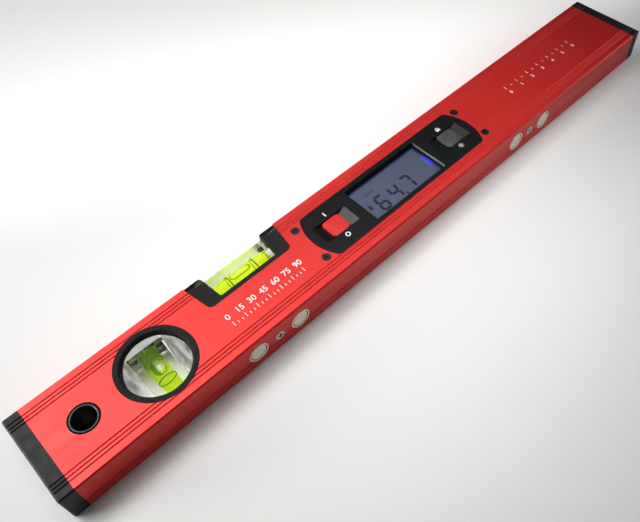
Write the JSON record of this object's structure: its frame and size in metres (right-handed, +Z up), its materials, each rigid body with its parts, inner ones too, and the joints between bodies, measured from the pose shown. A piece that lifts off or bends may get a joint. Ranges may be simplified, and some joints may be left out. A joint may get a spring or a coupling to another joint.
{
  "type": "digital level",
  "caption": "Box-section spirit level with a tilt display, rocker keys, a plumb vial, a top-edge vial, edge magnets and a rear battery bay.",
  "frame": {"origin": "middle of the level's footprint, on the surface under its back face", "axes": "+X along the length, away from the end with the hanging hole; +Y from the measuring edge to the vial edge; +Z up out of the display face"},
  "size_m": [0.4, 0.046, 0.019],
  "materials": {
    "red_aluminium": "red powder coat, satin",
    "black_plastic": "fine moulded grain",
    "clear_acrylic": "polished clear acrylic",
    "vial_fluid": "clear yellow-green fluid",
    "line_black": "printed black line",
    "window_clear": "polished clear sheet",
    "lcd_glass": "grey-blue display glass",
    "light_guide": "milky light guide",
    "lamp_blue": "blue lamp",
    "contact_rubber": "layered contact rubber",
    "board_green": "green board laminate",
    "chip_black": "moulded chip",
    "rocker_red": "satin moulded red",
    "rocker_grey": "satin moulded grey",
    "key_rubber": "moulded key rubber",
    "screw_black": "black oxide",
    "screw_bright": "zinc plate",
    "cell_jacket": "plain printed jacket",
    "contact_steel": "nickel plate",
    "magnet_nickel": "satin nickel plate"
  },
  "bodies": {
    "level": {"body_extrusion": "red_aluminium", "end_cap_left": "black_plastic", "end_cap_right": "black_plastic", "hang_bush_front": "black_plastic", "hang_bush_rear": "black_plastic", "plumb_ring_front": "black_plastic", "plumb_ring_rear": "black_plastic", "plumb_vial_block": "clear_acrylic", "plumb_vial_fluid": "vial_fluid", "plumb_vial_lines": "line_black", "plumb_vial_plug": "black_plastic", "top_vial_holder": "black_plastic", "top_vial_block": "clear_acrylic", "top_vial_fluid": "vial_fluid", "top_vial_lines": "line_black", "top_vial_plug": "black_plastic", "display_bezel": "black_plastic", "display_window": "window_clear", "lcd_panel": "lcd_glass", "light_guide": "light_guide", "backlight_lamp": "lamp_blue", "contact_strips": "contact_rubber", "circuit_board": "board_green", "controller_chip": "chip_black", "tilt_sensor": "chip_black", "power_key_mat": "key_rubber", "light_key_mat": "key_rubber", "module_screws": "screw_black", "board_screws": "screw_bright", "battery_tray": "black_plastic", "tray_screws": "screw_bright", "cell_one": "cell_jacket", "cell_two": "cell_jacket", "battery_springs": "contact_steel", "battery_contacts": "contact_steel", "magnet_carrier_left": "black_plastic", "magnet_carrier_right": "black_plastic", "magnet_cups": "magnet_nickel", "magnets": "magnet_nickel", "carrier_screws": "screw_bright"},
    "power_rocker": {"power_rocker": "rocker_red"},
    "light_rocker": {"light_rocker": "rocker_grey"},
    "battery_door": {"battery_door": "black_plastic"}
  },
  "joints": [
    {"name": "power_rocker_tilt", "type": "hinge", "parent": "level", "child": "power_rocker", "pos_m": [-0.0351, 0, 0.0162], "axis": [1, 0, 0], "range_deg": [-3.5, 3.5], "stiffness_Nm_per_rad": 0.1},
    {"name": "light_rocker_tilt", "type": "hinge", "parent": "level", "child": "light_rocker", "pos_m": [0.0485, 0, 0.0162], "axis": [1, 0, 0], "range_deg": [-3.5, 3.5], "stiffness_Nm_per_rad": 0.1},
    {"name": "battery_door_swing", "type": "hinge", "parent": "level", "child": "battery_door", "pos_m": [-0.0234, 0, 0.0013], "axis": [0, 1, 0], "range_deg": [0, 90]}
  ]
}
